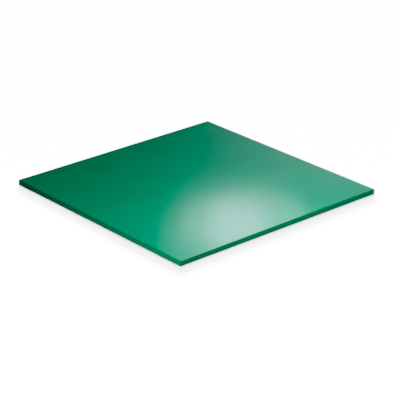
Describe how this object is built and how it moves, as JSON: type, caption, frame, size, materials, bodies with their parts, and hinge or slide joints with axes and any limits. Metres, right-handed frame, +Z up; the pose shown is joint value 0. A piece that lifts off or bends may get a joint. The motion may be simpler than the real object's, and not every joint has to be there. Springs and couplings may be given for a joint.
{
  "type": "plastic sheet",
  "caption": "Flat square sheet of solid green low-friction plastic with sawn edges and scraped rims, stock to be cut into wear strips, liners and slide pads.",
  "frame": {"origin": "centre of the underside, on the surface that the sheet lies on", "axes": "+Z up through the thickness; +X and +Y square to the sheet's sides"},
  "size_m": [0.3048, 0.3048, 0.0063],
  "materials": {
    "polyethylene": "satin"
  },
  "bodies": {
    "root": {"plastic_sheet": "polyethylene"}
  },
  "joints": []
}
